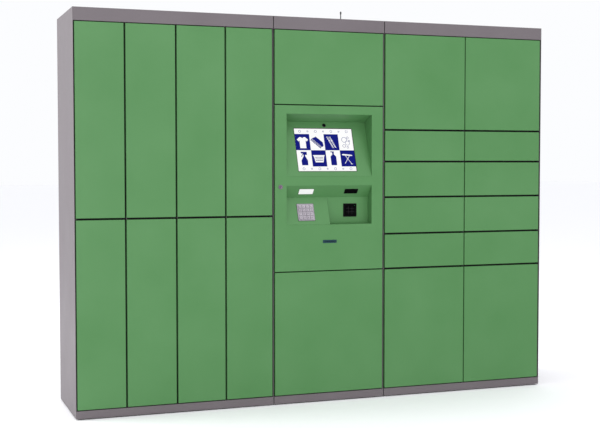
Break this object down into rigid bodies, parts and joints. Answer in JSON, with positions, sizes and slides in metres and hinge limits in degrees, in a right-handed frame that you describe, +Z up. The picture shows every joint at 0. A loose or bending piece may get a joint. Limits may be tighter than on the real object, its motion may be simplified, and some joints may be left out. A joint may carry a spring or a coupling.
{
  "type": "parcel locker",
  "caption": "Floor-standing steel parcel locker bank with tall garment compartments, a self-service terminal with screen and keypad, and hinged parcel compartments.",
  "frame": {"origin": "on the floor, under the middle of the bank's width and depth", "axes": "+Z up; the doors and the terminal face -Y; +X is to the right seen from the front"},
  "size_m": [2.59, 0.524, 2.0482],
  "materials": {
    "grey_powder_coat": "semi-matt powder coat",
    "green_powder_coat": "semi-matt powder coat",
    "zinc_plated_steel": "zinc plated",
    "chromed_tube": "polished",
    "screen_glass": "glossy",
    "brushed_keypad": "brushed",
    "black_plastic": "fine texture",
    "dark_window": "glossy",
    "lamp_diffuser": "opal",
    "lock_chrome": "satin",
    "dark_powder_coat": "fine texture powder coat"
  },
  "bodies": {
    "root": {"garment_carcass": "grey_powder_coat", "terminal_carcass": "grey_powder_coat", "parcel_carcass": "grey_powder_coat", "dividers": "grey_powder_coat", "shelves": "grey_powder_coat", "top_fascias": "grey_powder_coat", "plinths": "grey_powder_coat", "levelling_feet": "zinc_plated_steel", "hanging_rails": "chromed_tube", "door_hinges": "zinc_plated_steel", "door_locks": "zinc_plated_steel", "control_unit": "dark_powder_coat", "roof_antenna": "black_plastic"},
    "terminal_panel": {"terminal_panel": "green_powder_coat", "touch_screen": "screen_glass", "camera": "dark_window", "keypad_body": "brushed_keypad", "keypad_lamp": "lamp_diffuser", "code_scanner": "dark_window", "card_reader": "black_plastic", "receipt_printer": "black_plastic"},
    "garment_door_lower_1": {"garment_door_lower_1": "green_powder_coat"},
    "garment_door_upper_1": {"garment_door_upper_1": "green_powder_coat"},
    "garment_door_lower_2": {"garment_door_lower_2": "green_powder_coat"},
    "garment_door_upper_2": {"garment_door_upper_2": "green_powder_coat"},
    "garment_door_lower_3": {"garment_door_lower_3": "green_powder_coat"},
    "garment_door_upper_3": {"garment_door_upper_3": "green_powder_coat"},
    "garment_door_lower_4": {"garment_door_lower_4": "green_powder_coat"},
    "garment_door_upper_4": {"garment_door_upper_4": "green_powder_coat"},
    "large_door_lower": {"large_door_lower": "green_powder_coat"},
    "large_door_upper": {"large_door_upper": "green_powder_coat"},
    "parcel_door_left_1": {"parcel_door_left_1": "green_powder_coat"},
    "parcel_door_left_2": {"parcel_door_left_2": "green_powder_coat"},
    "parcel_door_left_3": {"parcel_door_left_3": "green_powder_coat"},
    "parcel_door_left_4": {"parcel_door_left_4": "green_powder_coat"},
    "parcel_door_left_5": {"parcel_door_left_5": "green_powder_coat"},
    "parcel_door_left_6": {"parcel_door_left_6": "green_powder_coat"},
    "parcel_door_right_1": {"parcel_door_right_1": "green_powder_coat"},
    "parcel_door_right_2": {"parcel_door_right_2": "green_powder_coat"},
    "parcel_door_right_3": {"parcel_door_right_3": "green_powder_coat"},
    "parcel_door_right_4": {"parcel_door_right_4": "green_powder_coat"},
    "parcel_door_right_5": {"parcel_door_right_5": "green_powder_coat"},
    "parcel_door_right_6": {"parcel_door_right_6": "green_powder_coat"},
    "cam_lock": {"cam_lock": "lock_chrome"},
    "key_1": {"key_1": "brushed_keypad"},
    "key_2": {"key_2": "brushed_keypad"},
    "key_3": {"key_3": "brushed_keypad"},
    "key_a": {"key_a": "brushed_keypad"},
    "key_4": {"key_4": "brushed_keypad"},
    "key_5": {"key_5": "brushed_keypad"},
    "key_6": {"key_6": "brushed_keypad"},
    "key_b": {"key_b": "brushed_keypad"},
    "key_7": {"key_7": "brushed_keypad"},
    "key_8": {"key_8": "brushed_keypad"},
    "key_9": {"key_9": "brushed_keypad"},
    "key_c": {"key_c": "brushed_keypad"},
    "key_star": {"key_star": "brushed_keypad"},
    "key_0": {"key_0": "brushed_keypad"},
    "key_hash": {"key_hash": "brushed_keypad"},
    "key_d": {"key_d": "brushed_keypad"}
  },
  "joints": [
    {"name": "terminal_panel_hinge", "type": "hinge", "parent": "root", "child": "terminal_panel", "pos_m": [0.3237, -0.2525, 1.1195], "axis": [0, 0, 1], "range_deg": [0, 100]},
    {"name": "garment_door_lower_1_hinge", "type": "hinge", "parent": "root", "child": "garment_door_lower_1", "pos_m": [-1.05675, -0.2525, 0.51087], "axis": [0, 0, 1], "range_deg": [0, 100]},
    {"name": "garment_door_upper_1_hinge", "type": "hinge", "parent": "root", "child": "garment_door_upper_1", "pos_m": [-1.05675, -0.2525, 1.45762], "axis": [0, 0, 1], "range_deg": [0, 100]},
    {"name": "garment_door_lower_2_hinge", "type": "hinge", "parent": "root", "child": "garment_door_lower_2", "pos_m": [-0.80125, -0.2525, 0.51087], "axis": [0, 0, 1], "range_deg": [0, 100]},
    {"name": "garment_door_upper_2_hinge", "type": "hinge", "parent": "root", "child": "garment_door_upper_2", "pos_m": [-0.80125, -0.2525, 1.45762], "axis": [0, 0, 1], "range_deg": [0, 100]},
    {"name": "garment_door_lower_3_hinge", "type": "hinge", "parent": "root", "child": "garment_door_lower_3", "pos_m": [-0.54675, -0.2525, 0.51087], "axis": [0, 0, 1], "range_deg": [0, 100]},
    {"name": "garment_door_upper_3_hinge", "type": "hinge", "parent": "root", "child": "garment_door_upper_3", "pos_m": [-0.54675, -0.2525, 1.45762], "axis": [0, 0, 1], "range_deg": [0, 100]},
    {"name": "garment_door_lower_4_hinge", "type": "hinge", "parent": "root", "child": "garment_door_lower_4", "pos_m": [-0.2953, -0.2525, 0.51087], "axis": [0, 0, 1], "range_deg": [0, 100]},
    {"name": "garment_door_upper_4_hinge", "type": "hinge", "parent": "root", "child": "garment_door_upper_4", "pos_m": [-0.2953, -0.2525, 1.45762], "axis": [0, 0, 1], "range_deg": [0, 100]},
    {"name": "large_door_lower_hinge", "type": "hinge", "parent": "root", "child": "large_door_lower", "pos_m": [0.3237, -0.2525, 0.36662], "axis": [0, 0, 1], "range_deg": [0, 100]},
    {"name": "large_door_upper_hinge", "type": "hinge", "parent": "root", "child": "large_door_upper", "pos_m": [0.3237, -0.2525, 1.74287], "axis": [0, 0, 1], "range_deg": [0, 100]},
    {"name": "parcel_door_left_1_hinge", "type": "hinge", "parent": "root", "child": "parcel_door_left_1", "pos_m": [0.80975, -0.2525, 0.36588], "axis": [0, 0, 1], "range_deg": [0, 100]},
    {"name": "parcel_door_left_2_hinge", "type": "hinge", "parent": "root", "child": "parcel_door_left_2", "pos_m": [0.80975, -0.2525, 0.7815], "axis": [0, 0, 1], "range_deg": [0, 100]},
    {"name": "parcel_door_left_3_hinge", "type": "hinge", "parent": "root", "child": "parcel_door_left_3", "pos_m": [0.80975, -0.2525, 0.972], "axis": [0, 0, 1], "range_deg": [0, 100]},
    {"name": "parcel_door_left_4_hinge", "type": "hinge", "parent": "root", "child": "parcel_door_left_4", "pos_m": [0.80975, -0.2525, 1.16425], "axis": [0, 0, 1], "range_deg": [0, 100]},
    {"name": "parcel_door_left_5_hinge", "type": "hinge", "parent": "root", "child": "parcel_door_left_5", "pos_m": [0.80975, -0.2525, 1.343], "axis": [0, 0, 1], "range_deg": [0, 100]},
    {"name": "parcel_door_left_6_hinge", "type": "hinge", "parent": "root", "child": "parcel_door_left_6", "pos_m": [0.80975, -0.2525, 1.68188], "axis": [0, 0, 1], "range_deg": [0, 100]},
    {"name": "parcel_door_right_1_hinge", "type": "hinge", "parent": "root", "child": "parcel_door_right_1", "pos_m": [1.2797, -0.2525, 0.36588], "axis": [0, 0, 1], "range_deg": [0, 100]},
    {"name": "parcel_door_right_2_hinge", "type": "hinge", "parent": "root", "child": "parcel_door_right_2", "pos_m": [1.2797, -0.2525, 0.7815], "axis": [0, 0, 1], "range_deg": [0, 100]},
    {"name": "parcel_door_right_3_hinge", "type": "hinge", "parent": "root", "child": "parcel_door_right_3", "pos_m": [1.2797, -0.2525, 0.972], "axis": [0, 0, 1], "range_deg": [0, 100]},
    {"name": "parcel_door_right_4_hinge", "type": "hinge", "parent": "root", "child": "parcel_door_right_4", "pos_m": [1.2797, -0.2525, 1.16425], "axis": [0, 0, 1], "range_deg": [0, 100]},
    {"name": "parcel_door_right_5_hinge", "type": "hinge", "parent": "root", "child": "parcel_door_right_5", "pos_m": [1.2797, -0.2525, 1.343], "axis": [0, 0, 1], "range_deg": [0, 100]},
    {"name": "parcel_door_right_6_hinge", "type": "hinge", "parent": "root", "child": "parcel_door_right_6", "pos_m": [1.2797, -0.2525, 1.68188], "axis": [0, 0, 1], "range_deg": [0, 100]},
    {"name": "cam_lock_turn", "type": "hinge", "parent": "terminal_panel", "child": "cam_lock", "pos_m": [-0.2425, -0.2605, 1.128], "axis": [0, 1, 0], "range_deg": [0, 90]},
    {"name": "key_1_press", "type": "slide", "parent": "terminal_panel", "child": "key_1", "axis": [0, 0.9339, -0.3576], "range_m": [0, 0.0015], "stiffness_N_per_m": 300},
    {"name": "key_2_press", "type": "slide", "parent": "terminal_panel", "child": "key_2", "axis": [0, 0.9339, -0.3576], "range_m": [0, 0.0015], "stiffness_N_per_m": 300},
    {"name": "key_3_press", "type": "slide", "parent": "terminal_panel", "child": "key_3", "axis": [0, 0.9339, -0.3576], "range_m": [0, 0.0015], "stiffness_N_per_m": 300},
    {"name": "key_a_press", "type": "slide", "parent": "terminal_panel", "child": "key_a", "axis": [0, 0.9339, -0.3576], "range_m": [0, 0.0015], "stiffness_N_per_m": 300},
    {"name": "key_4_press", "type": "slide", "parent": "terminal_panel", "child": "key_4", "axis": [0, 0.9339, -0.3576], "range_m": [0, 0.0015], "stiffness_N_per_m": 300},
    {"name": "key_5_press", "type": "slide", "parent": "terminal_panel", "child": "key_5", "axis": [0, 0.9339, -0.3576], "range_m": [0, 0.0015], "stiffness_N_per_m": 300},
    {"name": "key_6_press", "type": "slide", "parent": "terminal_panel", "child": "key_6", "axis": [0, 0.9339, -0.3576], "range_m": [0, 0.0015], "stiffness_N_per_m": 300},
    {"name": "key_b_press", "type": "slide", "parent": "terminal_panel", "child": "key_b", "axis": [0, 0.9339, -0.3576], "range_m": [0, 0.0015], "stiffness_N_per_m": 300},
    {"name": "key_7_press", "type": "slide", "parent": "terminal_panel", "child": "key_7", "axis": [0, 0.9339, -0.3576], "range_m": [0, 0.0015], "stiffness_N_per_m": 300},
    {"name": "key_8_press", "type": "slide", "parent": "terminal_panel", "child": "key_8", "axis": [0, 0.9339, -0.3576], "range_m": [0, 0.0015], "stiffness_N_per_m": 300},
    {"name": "key_9_press", "type": "slide", "parent": "terminal_panel", "child": "key_9", "axis": [0, 0.9339, -0.3576], "range_m": [0, 0.0015], "stiffness_N_per_m": 300},
    {"name": "key_c_press", "type": "slide", "parent": "terminal_panel", "child": "key_c", "axis": [0, 0.9339, -0.3576], "range_m": [0, 0.0015], "stiffness_N_per_m": 300},
    {"name": "key_star_press", "type": "slide", "parent": "terminal_panel", "child": "key_star", "axis": [0, 0.9339, -0.3576], "range_m": [0, 0.0015], "stiffness_N_per_m": 300},
    {"name": "key_0_press", "type": "slide", "parent": "terminal_panel", "child": "key_0", "axis": [0, 0.9339, -0.3576], "range_m": [0, 0.0015], "stiffness_N_per_m": 300},
    {"name": "key_hash_press", "type": "slide", "parent": "terminal_panel", "child": "key_hash", "axis": [0, 0.9339, -0.3576], "range_m": [0, 0.0015], "stiffness_N_per_m": 300},
    {"name": "key_d_press", "type": "slide", "parent": "terminal_panel", "child": "key_d", "axis": [0, 0.9339, -0.3576], "range_m": [0, 0.0015], "stiffness_N_per_m": 300}
  ]
}
